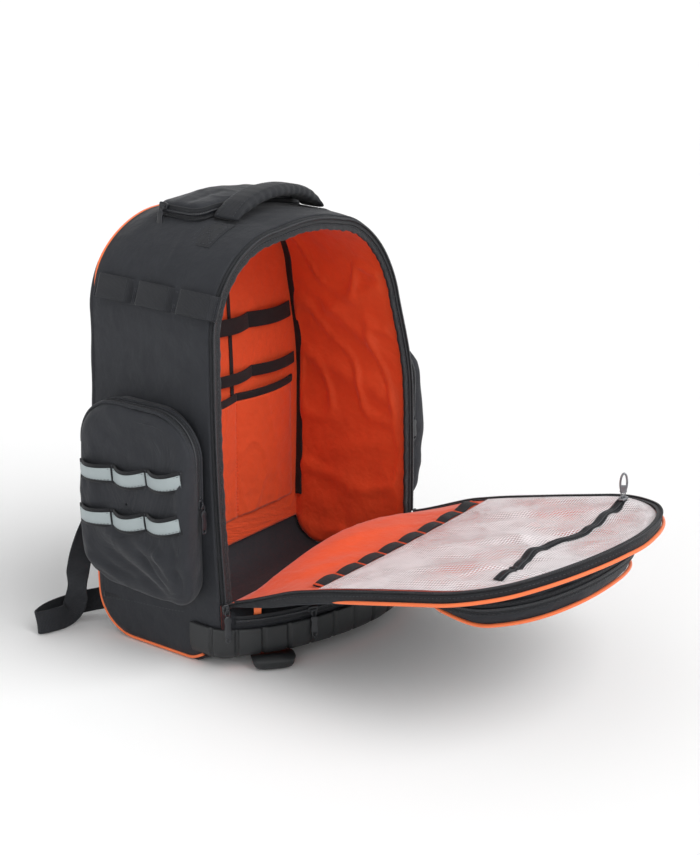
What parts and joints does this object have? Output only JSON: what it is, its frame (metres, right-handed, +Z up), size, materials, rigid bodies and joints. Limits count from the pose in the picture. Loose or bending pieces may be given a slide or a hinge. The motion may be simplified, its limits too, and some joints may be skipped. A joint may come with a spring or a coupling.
{
  "type": "tool backpack",
  "caption": "Open tool backpack with a zipped front flap folded down, moulded ribbed base, side pockets with tool loops, orange lining and padded shoulder straps.",
  "frame": {"origin": "a point on the flat underside, on the bag's middle plane, at floor level", "axes": "+Z up, the opening and flap face -Y, +X to the bag's left hand side when it is worn"},
  "size_m": [0.4599, 0.612, 0.4819],
  "materials": {
    "cloth": "black woven polyester, backed",
    "webbing": "black webbing and elastic",
    "orange": "orange woven lining",
    "piping": "orange corded piping",
    "rubber": "moulded black rubber, matt",
    "zip": "black zip tape, coil and pulls",
    "reflective": "grey reflective tape",
    "mesh": "white netting",
    "steel": "plain steel pull"
  },
  "bodies": {
    "root": {"body_shell": "cloth", "body_lining": "orange", "back_lining": "orange", "back_panel": "cloth", "bottom_panel": "cloth", "front_sill": "cloth", "rubber_base": "rubber", "foot_left": "rubber", "foot_right": "rubber", "back_piping": "piping", "opening_band": "cloth", "body_zipper": "zip", "main_pull_left": "zip", "main_pull_right": "zip", "organiser_pocket": "orange", "organiser_binding": "webbing", "organiser_band_upper": "webbing", "organiser_band_middle": "webbing", "organiser_divider": "webbing", "back_seam_binding": "webbing", "top_pocket": "cloth", "top_zipper": "zip", "carry_handle": "webbing", "handle_patch_left": "webbing", "handle_patch_right": "webbing", "webbing_ladder": "webbing", "side_pocket_left": "cloth", "side_pocket_left_zip": "zip", "side_pocket_left_pull": "zip", "side_pocket_right": "cloth", "side_pocket_right_zip": "zip", "side_pocket_right_pull": "zip", "tool_loops_upper": "webbing", "reflective_strip_upper": "reflective", "tool_loops_lower": "webbing", "reflective_strip_lower": "reflective", "flap_panel": "cloth", "flap_lining": "orange", "flap_rim": "cloth", "flap_zipper": "zip", "flap_piping": "piping", "flap_loop_band": "webbing", "mesh_pocket": "mesh", "mesh_pocket_tip": "mesh", "mesh_zipper": "zip", "mesh_zip_pull": "steel", "flap_box_pocket": "cloth", "box_piping": "piping", "box_zipper": "zip", "front_zipper": "zip", "front_pull": "zip", "orange_tab_left": "piping", "orange_tab_front": "piping", "top_pull": "zip", "shoulder_strap_left": "cloth", "strap_webbing_left": "webbing", "shoulder_strap_right": "cloth", "strap_webbing_right": "webbing"}
  },
  "joints": []
}
